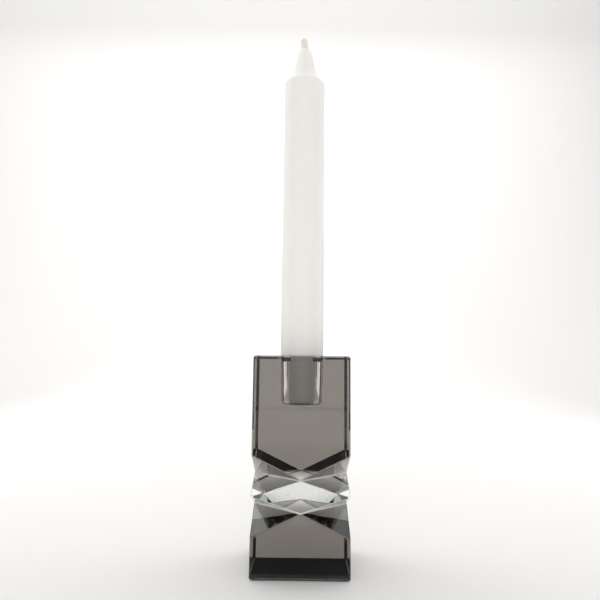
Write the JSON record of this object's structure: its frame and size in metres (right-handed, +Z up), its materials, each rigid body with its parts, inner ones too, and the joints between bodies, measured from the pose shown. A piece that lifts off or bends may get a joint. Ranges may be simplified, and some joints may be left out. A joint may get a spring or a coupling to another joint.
{
  "type": "glass candlestick",
  "caption": "Square crystal candlestick: smoke blocks bonded above and below a clear faceted crystal, with a flared socket that holds a plain white dinner candle.",
  "frame": {"origin": "centre of the foot, on the table", "axes": "+Z up along the candle's axis; X and Y square to the column's sides"},
  "size_m": [0.048, 0.048, 0.2891],
  "materials": {
    "smoke_crystal": "polished smoke-grey crystal",
    "clear_crystal": "polished clear crystal",
    "optical_bond": "cured clear adhesive, faintly milky at its bead",
    "black_pad": "thin moulded black rubber",
    "candle_wax": "smooth moulded white wax",
    "cotton_wick": "wax-dipped braided cotton"
  },
  "bodies": {
    "stand": {"base_pad": "black_pad", "base_block": "smoke_crystal", "lower_bond": "optical_bond", "middle_crystal": "clear_crystal", "upper_bond": "optical_bond", "upper_block": "smoke_crystal"},
    "candle": {"candle_wax": "candle_wax", "candle_wick": "cotton_wick"}
  },
  "joints": [
    {"name": "candle_lift", "type": "slide", "parent": "stand", "child": "candle", "axis": [0, 0, 1], "range_m": [0, 0.03]}
  ]
}
